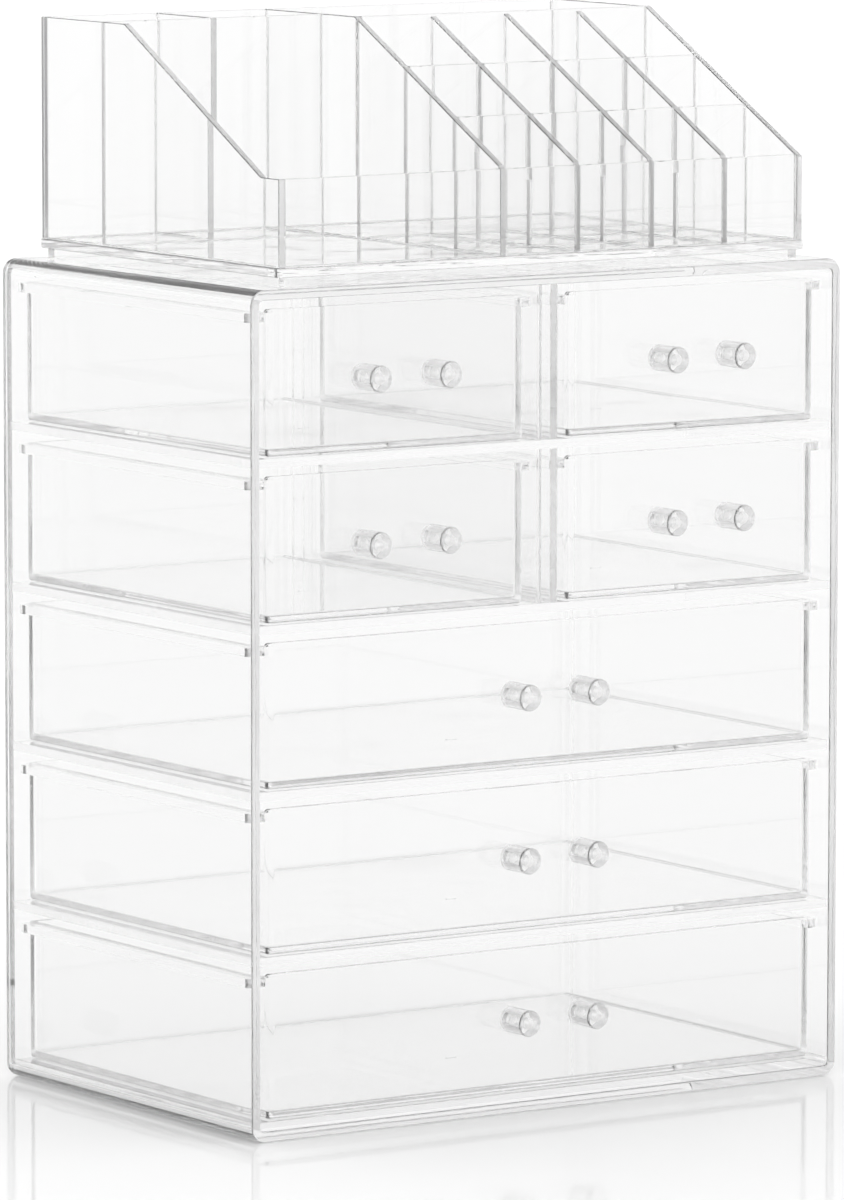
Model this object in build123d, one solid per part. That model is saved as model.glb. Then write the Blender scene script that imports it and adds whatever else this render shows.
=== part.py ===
from build123d import *
import os

os.makedirs("parts", exist_ok=True)

# A clear plastic organizer for a dressing table: a cabinet of five tiers with seven drawers, and a loose
# compartment tray that stands on top of it.
# Millimetres.  +Z is up, the drawers open towards -Y, and +X is to the right of someone who faces them.
# The origin is the centre of the cabinet's footprint, on the surface that it stands on.

# ---- Bonded joints of the cabinet and the tray, and the knobs' seats ----
cement_film = 0.06            # left between the two faces

# ---- Cabinet: a rounded rectangular tube, closed at the back, with a shelf under every drawer ----
cabinet_width = 240.0
cabinet_depth = 156.0
cabinet_wall = 3.4            # top, bottom and side walls
cabinet_corner = 5.0          # outer radius of the four long edges
rim_round = 0.5               # rounding of the tube's front and rear rims
back_thickness = 3.0
tier_pitch = 55.2             # from one shelf to the next
tier_names = ["bottom", "fourth", "third", "second", "top"]
split_tiers = ["second", "top"]   # these hold two small drawers side by side
shelf_thickness = 3.0
shelf_setback = 1.0           # from the tube's front rim to a shelf's front edge
panel_corner_relief = 0.3     # extra corner radius of a panel that sits in the tube's rounded corners

# ---- Centre partition of the split tiers: a hollow post, open at the back ----
partition_width = 7.5
partition_wall = 2.0
partition_face = 2.4          # thickness of its front strip
partition_setback = 2.4

# ---- Drawers: moulded boxes with a guide flange along the top of each side ----
drawer_setback = 3.5          # from the tube's front rim to the drawer front
drawer_side_gap = 5.2         # from the bay's side to the drawer's side wall
flange_clearance = 0.45       # from the bay's side to the guide flange
drawer_seat_gap = 0.3         # above the shelf
drawer_back_gap = 0.5         # in front of the back panel
drawer_top_gap = 3.3          # from the drawer front's top edge to the shelf above
side_drop = 1.2               # the sides and rear are this much lower than the front
drawer_front_wall = 2.4
drawer_side_wall = 2.0
drawer_rear_wall = 2.0
drawer_floor = 2.0
drawer_corner = 2.0           # outer radius of the upright edges
drawer_bottom_round = 1.2     # outer radius along the bottom
drawer_inner_corner = 1.4
drawer_inner_round = 0.8
front_top_corner = 1.5        # radius of the drawer front's two upper corners
flange_thickness = 3.0
flange_rear_inset = 2.0       # from the drawer's rear face to the flange's end
flange_corner = 2.0
gate_width = 4.0              # mark of the injection gate, a short raised line on the floor
gate_length = 0.8
gate_height = 0.2
gate_from_front = 57.5

# ---- Knobs: two on each drawer, pressed onto studs of the drawer front ----
knob_diameter = 9.0
knob_length = 12.0
knob_spacing = 28.0
knob_height = 24.7            # axis above the drawer's bottom
knob_tip_round = 0.8
knob_base_round = 0.25
knob_bore_diameter = 4.0
knob_bore_depth = 9.6
stud_clearance = 0.1          # all round, in the knob's bore
stud_length = 7.0
weld_line_width = 0.4         # fine ridge where the moulding met between the studs
weld_line_height = 0.2

# ---- Tray: upright plates on a moulded base ----
tray_width = 213.0            # over the side plates
tray_depth = 148.0            # over the front and rear plates
tray_seat_gap = 0.3           # above the cabinet
tray_skirt_height = 3.1       # foot rim under the base
tray_skirt_inset = 2.5        # from the base's edge
tray_skirt_width = 2.4
tray_base_thickness = 3.2
tray_base_lip = 1.0           # the base stands out beyond the plates
tray_base_corner = 2.5
tray_base_round = 0.6
tray_plate = 2.4
plate_edge_break = 0.25       # polished edges
tray_rear_height = 75.6       # plates above the base, at the rear
tray_front_height = 29.2
slot_columns = 4
slot_rows = 3
slot_column_pitch = 30.375
slot_row_pitch = 29.4
left_slope_start = 94.9       # along the left plate, from the tray's front face
left_slope_end = 10.9
rear_left_depth = 34.4        # clear depth of the two tall compartments at the rear left
half_lap_clearance = 0.1      # each side of a plate in the slot it crosses

# ---- Derived levels ----
front_rim = -cabinet_depth / 2
back_rim = cabinet_depth / 2
back_face = back_rim - rim_round - back_thickness   # the panel lies just inside the rounded rim
cabinet_height = 2 * cabinet_wall + len(tier_names) * tier_pitch
bay_width = cabinet_width - 2 * cabinet_wall
bay_height = tier_pitch - shelf_thickness
inner_corner = cabinet_corner - cabinet_wall
drawer_depth = back_face - drawer_back_gap - (front_rim + drawer_setback)
drawer_front_height = bay_height - drawer_seat_gap - drawer_top_gap
drawer_side_height = drawer_front_height - side_drop
split_bay_width = (bay_width - partition_width) / 2
tray_skirt_z = cabinet_height + tray_seat_gap
tray_base_z = tray_skirt_z + tray_skirt_height
tray_floor_z = tray_base_z + tray_base_thickness
tray_front = -tray_depth / 2
tray_rear = tray_depth / 2
tray_half = tray_width / 2


def save(name, shape):
    """Write one sub-part."""
    export_step(shape, os.path.join("parts", name + ".step"))


def shelf_z(tier):
    """Underside of the shelf that carries a tier, counted from the bottom."""
    return cabinet_wall + tier * tier_pitch


def block(x_low, x_high, y_low, y_high, z_low, z_high):
    """A box between two corners."""
    size = (x_high - x_low, y_high - y_low, z_high - z_low)
    middle = ((x_low + x_high) / 2, (y_low + y_high) / 2, (z_low + z_high) / 2)
    return Pos(*middle) * Box(*size)


# ---- Cabinet pieces ----

def tube_outline(width, height, corner):
    """Rounded rectangle seen from the front, on the rear rim's plane."""
    rear_plane = Plane(origin=(0, back_rim, cabinet_height / 2), x_dir=(1, 0, 0), z_dir=(0, -1, 0))
    return rear_plane * RectangleRounded(width, height, corner)


def case_shell():
    """Top, bottom and side walls in one tube."""
    outside = tube_outline(cabinet_width, cabinet_height, cabinet_corner)
    inside = tube_outline(bay_width, cabinet_height - 2 * cabinet_wall, inner_corner)
    tube = extrude(outside - inside, cabinet_depth)
    rims = tube.faces().filter_by(Axis.Y).edges()
    return fillet(rims, rim_round)


def back_panel():
    """Panel bonded inside the tube, just in front of its rounded rear rim."""
    corner = inner_corner + panel_corner_relief
    height = cabinet_height - 2 * cabinet_wall
    outline = tube_outline(bay_width - 2 * cement_film, height - 2 * cement_film, corner)
    panel = extrude(outline, back_thickness)
    return Pos(0, -rim_round, 0) * panel


def shelf(tier):
    """Flat shelf from side wall to side wall.  The lowest lies on the tube's bottom wall."""
    top = shelf_z(tier) + shelf_thickness
    bottom = shelf_z(tier) + (cement_film if tier == 0 else 0)
    half = bay_width / 2 - cement_film
    plate = block(-half, half, front_rim + shelf_setback, back_face - cement_film, bottom, top)
    if tier == 0:
        under_edges = plate.edges().filter_by(Axis.Y).group_by(Axis.Z)[0]
        plate = fillet(under_edges, inner_corner + panel_corner_relief)
    return plate


def partition(tier):
    """Hollow post between two small drawers: a front strip and two side walls."""
    bottom = shelf_z(tier) + shelf_thickness + cement_film
    top = shelf_z(tier + 1) - cement_film
    half = partition_width / 2
    front = front_rim + partition_setback
    rear = back_face - cement_film
    post = block(-half, half, front, rear, bottom, top)
    hollow = block(-half + partition_wall, half - partition_wall, front + partition_face, rear, bottom, top)
    return post - hollow


# ---- Drawer pieces, about the middle of the bay's width and the drawer's underside ----

def knob_places():
    """The two knob axes across the drawer front."""
    return (-knob_spacing / 2, knob_spacing / 2)


def drawer_box(bay):
    """Moulded box: floor, front, sides and rear, side flanges, knob studs."""
    width = bay - 2 * drawer_side_gap
    half = width / 2
    front = front_rim + drawer_setback
    rear = front + drawer_depth
    body = block(-half, half, front, rear, 0, drawer_front_height)
    body = fillet(body.edges().filter_by(Axis.Z), drawer_corner)
    body = fillet(body.faces().sort_by(Axis.Z)[0].edges(), drawer_bottom_round)

    inside = block(-half + drawer_side_wall, half - drawer_side_wall, front + drawer_front_wall,
                   rear - drawer_rear_wall, drawer_floor, 2 * drawer_front_height)
    inside = fillet(inside.edges().filter_by(Axis.Z), drawer_inner_corner)
    inside = fillet(inside.faces().sort_by(Axis.Z)[0].edges(), drawer_inner_round)
    above_sides = block(-half, half, front + drawer_front_wall, rear,
                        drawer_side_height, drawer_front_height)
    body = (body - inside - above_sides) & front_silhouette(width, rear)
    for side in (-1, 1):
        body += flange(side, half, front, rear)
    for x in knob_places():
        body += stud(x, front)
    body += weld_line(front)
    return body + gate_mark(front)


def front_silhouette(width, rear):
    """The drawer as seen from the front: its two upper corners are rounded."""
    rear_plane = Plane(origin=(0, rear, 0), x_dir=(1, 0, 0), z_dir=(0, -1, 0))
    outline = RectangleRounded(width, 2 * drawer_front_height, front_top_corner)
    return extrude(rear_plane * outline, drawer_depth)


def flange(side, half, front, rear):
    """Guide flange along the top of one side; its outer edge runs close to the bay's side."""
    inner = half - drawer_side_wall / 2
    outer = half + drawer_side_gap - flange_clearance
    low = drawer_side_height - flange_thickness
    x_low, x_high = sorted((side * inner, side * outer))
    # It starts behind the rounded front corner, and so is carried by the flat of the side wall.
    strip = block(x_low, x_high, front + drawer_corner, rear - flange_rear_inset, low, drawer_side_height)
    outer_edges = strip.edges().filter_by(Axis.Z).group_by(Axis.X)[0 if side < 0 else -1]
    return fillet(outer_edges, flange_corner)


def stud(x, front):
    """Stud on the drawer front that carries a knob."""
    radius = knob_bore_diameter / 2 - stud_clearance
    root = drawer_front_wall / 2
    middle = (x, front + (root - stud_length) / 2, knob_height)
    return Pos(*middle) * Rot(90, 0, 0) * Cylinder(radius, stud_length + root)


def weld_line(front):
    """Fine line on the inside of the front, between the two studs."""
    low, high = knob_places()
    inner_face = front + drawer_front_wall
    return block(low, high, inner_face - weld_line_height, inner_face + weld_line_height,
                 knob_height - weld_line_width / 2, knob_height + weld_line_width / 2)


def gate_mark(front):
    """Mark of the injection gate on the floor, inside the drawer."""
    y = front + gate_from_front
    return block(-gate_width / 2, gate_width / 2, y - gate_length / 2, y + gate_length / 2,
                 drawer_floor - gate_height, drawer_floor + gate_height)


def knob(x):
    """Cylindrical knob with a blind bore for the stud, its base on the drawer front."""
    base = front_rim + drawer_setback - cement_film
    body = Pos(x, base - knob_length / 2, knob_height) * Rot(90, 0, 0)
    body = body * Cylinder(knob_diameter / 2, knob_length)
    body = fillet(body.edges().sort_by(Axis.Y)[0], knob_tip_round)
    body = fillet(body.edges().sort_by(Axis.Y)[-1], knob_base_round)
    bore = Pos(x, base - knob_bore_depth / 2, knob_height) * Rot(90, 0, 0)
    return body - bore * Cylinder(knob_bore_diameter / 2, knob_bore_depth)


def place_drawer(name, tier, bay, x):
    """Write a drawer's box and its pair of knobs in their bay."""
    place = Pos(x, 0, shelf_z(tier) + shelf_thickness + drawer_seat_gap)
    save(name + "_drawer_box", place * drawer_box(bay))
    save(name + "_drawer_knobs", Compound(children=[place * knob(k) for k in knob_places()]))


# ---- Tray pieces ----

def slope_height(y):
    """Height of the sloped edges above the tray floor at a distance behind the front plate's middle."""
    run = slot_rows * slot_row_pitch
    return tray_front_height + (tray_rear_height - tray_front_height) * y / run


def plate_along_y(x, outline):
    """Upright plate across the X axis, from a list of (y, height above the tray floor)."""
    plane = Plane(origin=(x - tray_plate / 2, 0, tray_floor_z), x_dir=(0, 1, 0), z_dir=(1, 0, 0))
    plate = extrude(plane * make_face(Polyline(*outline, close=True)), tray_plate)
    return chamfer(plate.edges(), plate_edge_break)


def plate_along_x(y, x_low, x_high, height):
    """Upright rectangular plate across the Y axis, bonded at both ends and on the floor."""
    plate = block(x_low + cement_film, x_high - cement_film, y - tray_plate / 2, y + tray_plate / 2,
                  tray_floor_z + cement_film, tray_floor_z + height)
    return chamfer(plate.edges(), plate_edge_break)


def tray_base():
    """Base with a small lip all round and a foot rim below."""
    width = tray_width + 2 * tray_base_lip
    depth = tray_depth + 2 * tray_base_lip
    plate = Pos(0, 0, tray_base_z) * extrude(RectangleRounded(width, depth, tray_base_corner),
                                             tray_base_thickness)
    plate = fillet(plate.faces().filter_by(Axis.Z).edges(), tray_base_round)
    rim_width = width - 2 * tray_skirt_inset
    rim_depth = depth - 2 * tray_skirt_inset
    ring = Rectangle(rim_width, rim_depth)
    ring -= Rectangle(rim_width - 2 * tray_skirt_width, rim_depth - 2 * tray_skirt_width)
    skirt = Pos(0, 0, tray_skirt_z) * extrude(ring, tray_skirt_height)
    return plate + skirt


def lap_slots(crossings, low, high, along_x):
    """Slots for plates that cross another: low and high give the slot's ends above the floor."""
    reach = tray_plate / 2 + half_lap_clearance
    slots = []
    for x, y in crossings:
        half_x = reach if along_x else tray_plate
        half_y = tray_plate if along_x else reach
        slots.append(block(x - half_x, x + half_x, y - half_y, y + half_y,
                           tray_floor_z + low, tray_floor_z + high))
    return slots


front_plate_y = tray_front + tray_plate / 2
rear_plate_y = tray_rear - tray_plate / 2
side_plate_x = tray_half - tray_plate / 2
main_divider_x = side_plate_x - slot_columns * slot_column_pitch
divider_xs = [main_divider_x + n * slot_column_pitch for n in range(1, slot_columns)]
row_ys = [front_plate_y + n * slot_row_pitch for n in range(1, slot_rows)]
slope_start_y = front_plate_y + slot_rows * slot_row_pitch
rear_left_y = tray_rear - tray_plate - rear_left_depth - tray_plate / 2


def side_outline(front_y, rear_y, start_y, end_y):
    """Level at the rear, sloped down to the front plate's height, then level to the front."""
    return [(front_y, cement_film), (rear_y, cement_film), (rear_y, tray_rear_height),
            (start_y, tray_rear_height), (end_y, tray_front_height), (front_y, tray_front_height)]


def sloped_outline(front_y, rear_y, start_y):
    """As side_outline, but sloped all the way to the front."""
    front_height = slope_height(front_y - front_plate_y)
    return [(front_y, cement_film), (rear_y, cement_film), (rear_y, tray_rear_height),
            (start_y, tray_rear_height), (front_y, front_height)]


def half_height(y):
    """Where a divider and a row plate share the height of their crossing."""
    return slope_height(y - front_plate_y) / 2


def slot_divider(x):
    """Sloped divider of the small slots, notched from below where the row plates cross it."""
    front_y = tray_front + tray_plate + cement_film
    rear_y = slope_start_y - tray_plate / 2 - cement_film
    rear_top = slope_height(rear_y - front_plate_y)
    front_top = slope_height(front_y - front_plate_y)
    outline = [(front_y, cement_film), (rear_y, cement_film), (rear_y, rear_top), (front_y, front_top)]
    plate = plate_along_y(x, outline)
    for y in row_ys:
        for slot in lap_slots([(x, y)], 0, half_height(y) + half_lap_clearance, False):
            plate -= slot
    return plate


def row_plate(y):
    """Row plate of the small slots, notched from above where the dividers cross it."""
    top = slope_height(y - front_plate_y)
    x_low = main_divider_x + tray_plate / 2
    x_high = side_plate_x - tray_plate / 2
    plate = plate_along_x(y, x_low, x_high, top)
    for slot in lap_slots([(x, y) for x in divider_xs], half_height(y), top, True):
        plate -= slot
    return plate


# ---- Build: the cabinet ----
save("case_shell", case_shell())
save("back_panel", back_panel())
save("floor_panel", shelf(0))
for tier in range(1, len(tier_names)):
    save("shelf_" + str(tier), shelf(tier))
for tier, name in enumerate(tier_names):
    if name in split_tiers:
        save(name + "_partition", partition(tier))

# ---- Build: the drawers ----
split_middle = partition_width / 2 + split_bay_width / 2
for tier, name in enumerate(tier_names):
    if name in split_tiers:
        place_drawer(name + "_left", tier, split_bay_width, -split_middle)
        place_drawer(name + "_right", tier, split_bay_width, split_middle)
    else:
        place_drawer(name, tier, bay_width, 0)

# ---- Build: the tray ----
inner_half = side_plate_x - tray_plate / 2
divider_left = main_divider_x - tray_plate / 2
divider_right = main_divider_x + tray_plate / 2
save("tray_base", tray_base())
save("tray_left_side", plate_along_y(-side_plate_x, side_outline(
    tray_front, tray_rear, tray_front + left_slope_start, tray_front + left_slope_end)))
save("tray_right_side", plate_along_y(side_plate_x, sloped_outline(
    tray_front, tray_rear, slope_start_y)))
save("tray_rear_wall", plate_along_x(rear_plate_y, -inner_half, inner_half, tray_rear_height))
save("tray_front_wall", plate_along_x(front_plate_y, -inner_half, inner_half, tray_front_height))
save("tray_main_divider", plate_along_y(main_divider_x, sloped_outline(
    tray_front + tray_plate + cement_film, tray_rear - tray_plate - cement_film, slope_start_y)))
save("tray_brush_wall", plate_along_x(rear_left_y, -inner_half, divider_left, tray_rear_height))
well_front = rear_left_y + tray_plate / 2 + cement_film
well_rear = tray_rear - tray_plate - cement_film
save("tray_brush_divider", plate_along_y((divider_left - inner_half) / 2, [
    (well_front, cement_film), (well_rear, cement_film),
    (well_rear, tray_rear_height), (well_front, tray_rear_height)]))
save("tray_tall_wall", plate_along_x(slope_start_y, divider_right, inner_half, tray_rear_height))
for number, x in enumerate(divider_xs, 1):
    save("tray_slot_divider_" + str(number), slot_divider(x))
for number, y in enumerate(row_ys, 1):
    save("tray_row_wall_" + str(number), row_plate(y))
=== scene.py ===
import math
import random

import bpy
from mathutils import Matrix, Vector


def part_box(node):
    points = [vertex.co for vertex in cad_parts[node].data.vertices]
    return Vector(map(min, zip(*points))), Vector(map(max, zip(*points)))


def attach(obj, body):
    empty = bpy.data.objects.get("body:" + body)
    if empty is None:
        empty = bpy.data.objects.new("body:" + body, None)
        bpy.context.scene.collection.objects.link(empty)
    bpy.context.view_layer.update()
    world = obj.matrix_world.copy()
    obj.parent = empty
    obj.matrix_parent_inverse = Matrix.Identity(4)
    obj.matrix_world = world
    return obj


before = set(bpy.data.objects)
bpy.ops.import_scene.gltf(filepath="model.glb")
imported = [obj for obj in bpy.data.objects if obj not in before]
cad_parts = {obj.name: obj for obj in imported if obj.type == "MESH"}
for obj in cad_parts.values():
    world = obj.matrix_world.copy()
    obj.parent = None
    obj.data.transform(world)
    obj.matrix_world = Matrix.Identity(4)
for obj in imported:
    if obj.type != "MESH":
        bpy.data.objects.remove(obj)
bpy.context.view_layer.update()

# ---- Case shell ----
# The cabinet's top, bottom and sides are one rounded tube of clear polystyrene, moulded in a polished tool.
# The plastic has almost no colour of its own.  What shows of it is its bends and rims, where light that has
# run along inside a wall comes out, so its rims are a little greyer and milkier than its faces.
MM = 0.001
POLYSTYRENE_IOR = 1.59
plastic_colour = "#FEFEFE"
moulded_roughness = 0.006
case_wave = 60              # mm between the slow waves that the mould leaves in a wide wall
case_wave_height = 0.05     # mm
handling_haze = 0.006       # share of the light that fine wipe marks and dust scatter
rim_haze = 0.12             # the same on the front and rear rims, where the tool's halves met
noise_low, noise_high = 0.3, 0.7        # the noise mostly stays between these two
clean_share, wiped_share = 0.5, 1.5     # of the roughness, in the cleanest and in the most wiped places
side_on, end_on = 0.2, 0.8              # how much a face looks along an axis: a side at most, an end at least


def linear(hex_colour):
    """An sRGB hex value as a linear colour."""
    parts = [int(hex_colour[i:i + 2], 16) / 255 for i in (1, 3, 5)]
    return tuple(p / 12.92 if p <= 0.04045 else ((p + 0.055) / 1.055) ** 2.4 for p in parts) + (1.0,)


def add_node(tree, kind, inputs=None, **settings):
    """A node with its settings; inputs gives each socket a value or the output that feeds it."""
    made = tree.nodes.new(kind)
    for name, value in settings.items():
        setattr(made, name, value)
    for name, value in (inputs or {}).items():
        if isinstance(value, bpy.types.NodeSocket):
            tree.links.new(value, made.inputs[name])
        else:
            made.inputs[name].default_value = value
    return made


def new_material(name):
    """A material with an empty node tree, and that tree."""
    material = bpy.data.materials.new(name)
    material.use_nodes = True
    material.node_tree.nodes.clear()
    return material, material.node_tree


def clear_plastic(name, ior, wave, wave_height, roughness, haze, rough_ends=None, end_haze=0.0):
    """Clear plastic with slow waves and wipe marks.  Ends that face along axis rough_ends are hazier."""
    material, tree = new_material(name)
    place = add_node(tree, "ShaderNodeTexCoord")
    waves = add_node(tree, "ShaderNodeTexNoise",
                     {"Vector": place.outputs["Object"], "Scale": 1 / (wave * MM), "Detail": 1.0})
    bump = add_node(tree, "ShaderNodeBump",
                    {"Height": waves.outputs["Fac"], "Strength": 1.0, "Distance": wave_height * MM})
    wiped = add_node(tree, "ShaderNodeMapRange",
                     {"Value": waves.outputs["Fac"], "From Min": noise_low, "From Max": noise_high,
                      "To Min": roughness * clean_share, "To Max": roughness * wiped_share})
    surface = add_node(tree, "ShaderNodeBsdfPrincipled",
                       {"Base Color": linear(plastic_colour), "Roughness": wiped.outputs["Result"],
                        "IOR": ior, "Transmission Weight": 1 - haze, "Normal": bump.outputs["Normal"]})
    if rough_ends:
        facing = add_node(tree, "ShaderNodeSeparateXYZ", {"Vector": place.outputs["Normal"]})
        along = add_node(tree, "ShaderNodeMath", {0: facing.outputs[rough_ends]}, operation="ABSOLUTE")
        clear = add_node(tree, "ShaderNodeMapRange",
                         {"Value": along.outputs[0], "From Min": side_on, "From Max": end_on,
                          "To Min": 1 - haze, "To Max": 1 - end_haze})
        tree.links.new(clear.outputs["Result"], surface.inputs["Transmission Weight"])
    add_node(tree, "ShaderNodeOutputMaterial", {"Surface": surface.outputs["BSDF"]})
    return material


def finish_node(node, material):
    """Gives a CAD node its finish."""
    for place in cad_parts[node].material_slots:
        place.material = material


case_polystyrene = clear_plastic("clear polystyrene, moulded case wall", POLYSTYRENE_IOR, case_wave,
                                 case_wave_height, moulded_roughness, handling_haze, "Y", rim_haze)
finish_node("case_shell", case_polystyrene)

# ---- Shelves and floor panel ----
# Four shelves and the panel under the lowest drawer are clear polystyrene plates, cemented into the tube.
# Their front edges are as polished as their faces, and catch the light as bright bands between the drawers.
plate_polystyrene = clear_plastic("clear polystyrene, polished plate", POLYSTYRENE_IOR, case_wave,
                                  case_wave_height, moulded_roughness, handling_haze)
for name in ["floor_panel", "shelf_1", "shelf_2", "shelf_3", "shelf_4"]:
    finish_node(name, plate_polystyrene)

# ---- Back panel ----
# A plain moulded plate of clear polystyrene that closes the tube behind.  Drawers slide up to it and hands
# don't reach it, so it is the clearest wall of the cabinet.
back_haze = 0.003
back_polystyrene = clear_plastic("clear polystyrene, moulded back plate", POLYSTYRENE_IOR, case_wave,
                                 case_wave_height, moulded_roughness, back_haze)
finish_node("back_panel", back_polystyrene)

# ---- Centre partitions ----
# Hollow moulded posts of clear polystyrene between the small drawers, cemented to the shelves at both ends.
# Their thin walls cool unevenly, so their waves are shorter than the case's.
post_wave = 25              # mm
post_polystyrene = clear_plastic("clear polystyrene, moulded post", POLYSTYRENE_IOR, post_wave,
                                 case_wave_height, moulded_roughness, handling_haze)
for name in ["top_partition", "second_partition"]:
    finish_node(name, post_polystyrene)

# ---- Drawer boxes ----
# Seven one-piece mouldings of clear polystyrene, which lie loose on their shelves.  The plastic flows further
# in their thin walls than in a plate, and leaves shorter waves there.
drawer_wave = 40            # mm
drawer_polystyrene = clear_plastic("clear polystyrene, moulded drawer", POLYSTYRENE_IOR, drawer_wave,
                                   case_wave_height, moulded_roughness, handling_haze)
drawers = ["top_left", "top_right", "second_left", "second_right", "third", "fourth", "bottom"]
for name in drawers:
    finish_node(name + "_drawer_box", drawer_polystyrene)

# ---- Knobs ----
# Small mouldings of clear polystyrene, pressed on studs of the drawer front.  Thick plastic sinks as it
# cools, so their ends are gently uneven, and fingers make them duller and hazier than the walls.
knob_wave = 5               # mm
knob_roughness = 0.012
knob_haze = 0.04
knob_polystyrene = clear_plastic("clear polystyrene, moulded knob", POLYSTYRENE_IOR, knob_wave,
                                 case_wave_height, knob_roughness, knob_haze)
for name in drawers:
    finish_node(name + "_drawer_knobs", knob_polystyrene)

# ---- Tray base ----
# A moulded acrylic base with a foot rim, which stands on the cabinet.  It is thicker than the plates, and its
# top has the strongest waves of the whole object, which break up what is seen in it at a low angle.
ACRYLIC_IOR = 1.49
base_wave = 22              # mm
base_wave_height = 0.12     # mm
base_acrylic = clear_plastic("clear acrylic, moulded base", ACRYLIC_IOR, base_wave, base_wave_height,
                             moulded_roughness, handling_haze)
finish_node("tray_base", base_acrylic)

# ---- Tray plates ----
# Walls and dividers are cut from cast acrylic sheet, nearly flat, and their upper edges are flame-polished.
# The upright ends, which are cemented to a neighbour, stay as sawn, so they show as faint grey bands.
sheet_wave = 80             # mm
sheet_wave_height = 0.03    # mm
sheet_roughness = 0.004
sawn_haze = 0.3
lengthwise = ["tray_left_side", "tray_main_divider", "tray_brush_divider", "tray_slot_divider_1",
              "tray_slot_divider_2", "tray_slot_divider_3", "tray_right_side"]
crosswise = ["tray_front_wall", "tray_row_wall_1", "tray_row_wall_2", "tray_tall_wall", "tray_brush_wall",
             "tray_rear_wall"]
for title, plates, end_axis in [("divider", lengthwise, "Y"), ("wall", crosswise, "X")]:
    sheet_acrylic = clear_plastic("clear acrylic, cast sheet, " + title, ACRYLIC_IOR, sheet_wave,
                                  sheet_wave_height, sheet_roughness, handling_haze, end_axis, sawn_haze)
    for name in plates:
        finish_node(name, sheet_acrylic)

# ---- Cement beads in the tray ----
# The plates are fixed with solvent cement, which is drawn under a plate and dries as a thin clear bead along
# its foot.  It is put on by hand, so it is uneven, and it shows as a fine grey line.
bead_width = 0.7 * MM       # where the bead is widest
bead_thinnest = 0.5         # its least width, as a share of that
bead_rise = (0.7, 1.1)      # its height, as a share of its width there
bead_hollow = 0.3           # how far the bead's face is drawn in, as a share of its width
bead_step = 3.5 * MM        # from one change of its width to the next
bead_gap = 0.05 * MM        # between the bead and the plate, so that the two surfaces stay apart
tray_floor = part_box("tray_base")[1][2]
tray_low = Vector(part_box("tray_left_side")[0])
tray_high = Vector(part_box("tray_right_side")[1])
hand = random.Random(7)


def clear_stretches(start, end, blocks):
    """The stretches from start to end that no block, a pair of ends, covers."""
    stretches = []
    for low, high in sorted(blocks):
        if high > start and low < end:
            if low - start > bead_step:
                stretches.append((start, low))
            start = max(start, high)
    if end - start > bead_step:
        stretches.append((start, end))
    return stretches


def add_bead(vertices, faces, along, start, end, foot, outward):
    """A bead along axis `along` from start to end, at the foot of a plate whose face is at `foot`."""
    steps = max(2, round((end - start) / bead_step))
    first = len(vertices)
    for i in range(steps + 1):
        width = bead_width * hand.uniform(bead_thinnest, 1.0)
        rise = width * hand.uniform(*bead_rise)
        section = [(0, 0), (width, 0), (width * bead_hollow, rise * bead_hollow), (0, rise)]
        for across, up in section:
            point = [0, 0, tray_floor + bead_gap + up]
            point[along] = start + (end - start) * i / steps
            point[1 - along] = foot + outward * (bead_gap + across)
            vertices.append(point)
    size = len(section)
    for i in range(steps):
        for j in range(size):
            a, b = first + i * size + j, first + i * size + (j + 1) % size
            faces.append((a, b, b + size, a + size))
    faces.append(tuple(range(first, first + size)))
    faces.append(tuple(reversed(range(first + steps * size, first + (steps + 1) * size))))


def bead_mesh(plates, crossing, along):
    """The beads on both sides of each plate, inside the tray and between the plates that cross it."""
    vertices, faces = [], []
    for plate in plates:
        low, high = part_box(plate)
        for foot, outward in [(low[1 - along], -1), (high[1 - along], 1)]:
            middle = foot + outward * bead_width
            if not tray_low[1 - along] < middle < tray_high[1 - along]:
                continue
            blocks = []
            for other in crossing:
                other_low, other_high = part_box(other)
                if other_low[1 - along] - bead_width < middle < other_high[1 - along] + bead_width:
                    blocks.append((other_low[along] - bead_width, other_high[along] + bead_width))
            for start, end in clear_stretches(low[along], high[along], blocks):
                add_bead(vertices, faces, along, start, end, foot, outward)
    return vertices, faces


def add_object(name, data):
    """An object of the scene that shows this mesh or holds this camera."""
    made = bpy.data.objects.new(name, data)
    bpy.context.scene.collection.objects.link(made)
    return made


cement_wave = 3             # mm
cement_roughness = 0.08
cement_haze = 0.06
cement = clear_plastic("dried solvent cement", ACRYLIC_IOR, cement_wave, sheet_wave_height, cement_roughness,
                       cement_haze)
for title, plates, crossing, along in [("cement_lengthwise", lengthwise, crosswise, 1),
                                       ("cement_crosswise", crosswise, lengthwise, 0)]:
    mesh = bpy.data.meshes.new(title)
    vertices, faces = bead_mesh(plates, crossing, along)
    mesh.from_pydata(vertices, [], faces)
    mesh.materials.append(cement)
    mesh.shade_flat()
    beads = add_object(title, mesh)
    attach(beads, "tray")

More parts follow.
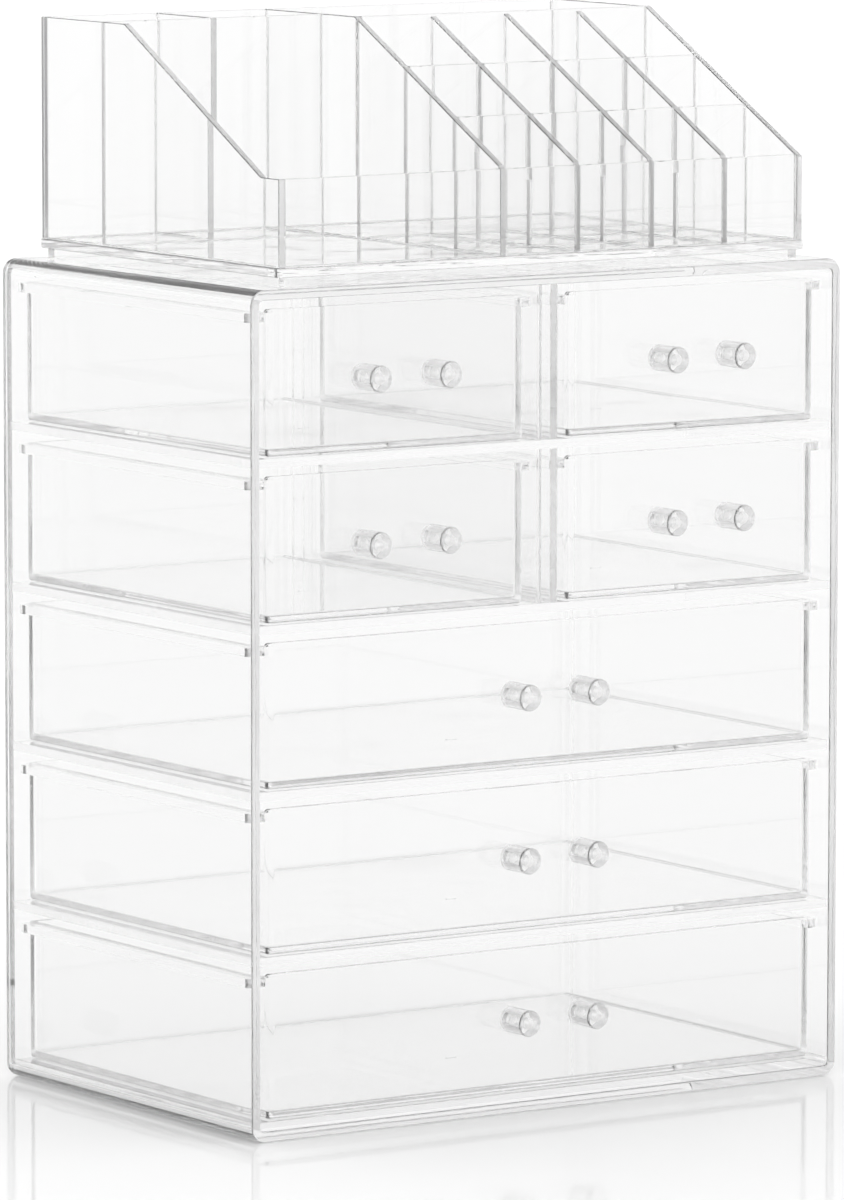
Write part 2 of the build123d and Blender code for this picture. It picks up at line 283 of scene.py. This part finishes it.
# ---- Table ----
# The organizer stands on a wide white laminate with a polished face, which mirrors its foot faintly.  Light
# that is seen in it through the plastic is kept nearly as white as the room, as in a white studio.
table_half = 12.0           # metres from the organizer to the table's edge
table_drop = 0.2 * MM       # below the case, so that the two faces stay apart
laminate_ior = 1.3
laminate_roughness = 0.06
seen_lift = 0.15            # how much whiter the laminate looks to the camera than its colour alone
through_share = 0.5         # of the plain white that light through or off the plastic meets in it
through_white = 1.07        # the level of that white
laminate, laminate_tree = new_material("white gloss laminate")
body = add_node(laminate_tree, "ShaderNodeBsdfPrincipled",
                {"Base Color": linear("#F2F2F2"), "Roughness": laminate_roughness, "IOR": laminate_ior})
lift = add_node(laminate_tree, "ShaderNodeEmission", {"Color": linear("#FFFFFF"), "Strength": seen_lift})
near = add_node(laminate_tree, "ShaderNodeAddShader", {0: body.outputs["BSDF"], 1: lift.outputs[0]})
glow = add_node(laminate_tree, "ShaderNodeEmission",
                {"Color": linear("#FFFFFF"), "Strength": through_white})
through = add_node(laminate_tree, "ShaderNodeMixShader",
                   {0: through_share, 1: body.outputs["BSDF"], 2: glow.outputs[0]})
sight = add_node(laminate_tree, "ShaderNodeLightPath").outputs["Is Camera Ray"]
both = add_node(laminate_tree, "ShaderNodeMixShader", {0: sight, 1: through.outputs[0], 2: near.outputs[0]})
add_node(laminate_tree, "ShaderNodeOutputMaterial", {"Surface": both.outputs[0]})
laminate.cycles.emission_sampling = "NONE"
table_mesh = bpy.data.meshes.new("table")
table_mesh.from_pydata([(-table_half, -table_half, -table_drop), (table_half, -table_half, -table_drop),
                        (table_half, table_half, -table_drop), (-table_half, table_half, -table_drop)],
                       [], [(0, 1, 2, 3)])
table_mesh.materials.append(laminate)
table = add_object("table", table_mesh)

# ---- Room light ----
# A white studio lights the organizer evenly from all round.  The ceiling is a little darker than the walls,
# and that is what draws grey into the edges, the knobs and the thick corners.
wall_level, ceiling_level = 1.0, 0.75
wall_top, ceiling_edge = 0.25, 0.8      # heights of direction between which the wall turns into ceiling
studio = bpy.data.worlds.new("white studio")
bpy.context.scene.world = studio
studio.use_nodes = True
studio_tree = studio.node_tree
studio_tree.nodes.clear()
way = add_node(studio_tree, "ShaderNodeTexCoord").outputs["Generated"]
height = add_node(studio_tree, "ShaderNodeSeparateXYZ", {"Vector": way}).outputs["Z"]
sweep = add_node(studio_tree, "ShaderNodeMapRange",
                 {"Value": height, "From Min": wall_top, "From Max": ceiling_edge, "To Min": wall_level,
                  "To Max": ceiling_level}, interpolation_type="SMOOTHSTEP")
rays = add_node(studio_tree, "ShaderNodeLightPath")
bounced = add_node(studio_tree, "ShaderNodeMath",
                   {0: rays.outputs["Is Glossy Ray"], 1: rays.outputs["Is Transmission Ray"]},
                   operation="MAXIMUM")
level = add_node(studio_tree, "ShaderNodeMix",
                 {"Factor": bounced.outputs[0], "A": wall_level, "B": sweep.outputs["Result"]})
sky = add_node(studio_tree, "ShaderNodeBackground",
               {"Color": linear("#FFFFFF"), "Strength": level.outputs["Result"]})
add_node(studio_tree, "ShaderNodeOutputWorld", {"Surface": sky.outputs[0]})
studio.cycles.sampling_method = "NONE"

# ---- Camera ----
# It stands well back, to the left of the organizer's front and a little above it, with a long lens.
# The shift only sets the framing, and the roll is what a camera on a stand is out of level by.
camera_azimuth, camera_elevation, camera_roll = -34.026, 7.357, 0.043      # degrees
camera_distance = 3.0601
camera_target = Vector((0, 0, 0.1415))
film_height, lens_length = 36.0, 267.36     # mm
lens_shift = (0.0004, 0.0573)               # shares of the film's height
sight_range = 100.0                         # metres, past the table's far edge
azimuth, elevation = math.radians(camera_azimuth), math.radians(camera_elevation)
away = Vector((math.sin(azimuth) * math.cos(elevation), -math.cos(azimuth) * math.cos(elevation),
               math.sin(elevation)))
lens = bpy.data.cameras.new("camera")
lens.sensor_fit = "VERTICAL"
lens.sensor_height = film_height
lens.lens = lens_length
lens.shift_x, lens.shift_y = lens_shift
lens.clip_end = sight_range
camera = add_object("camera", lens)
camera.location = camera_target + camera_distance * away
camera.rotation_mode = "QUATERNION"
upright = (-away).to_track_quat("-Z", "Y")
camera.rotation_quaternion = upright @ Matrix.Rotation(math.radians(camera_roll), 3, "Z").to_quaternion()

scene = bpy.context.scene
scene.camera = camera
scene.view_settings.view_transform = "Standard"
# Light can turn about a hundred times inside a wall before it comes out at the far rim.
turns_in_plastic = 112
turns_off_dull_faces = 2
scene.cycles.max_bounces = turns_in_plastic
scene.cycles.transmission_bounces = turns_in_plastic
scene.cycles.glossy_bounces = turns_in_plastic
scene.cycles.diffuse_bounces = turns_off_dull_faces
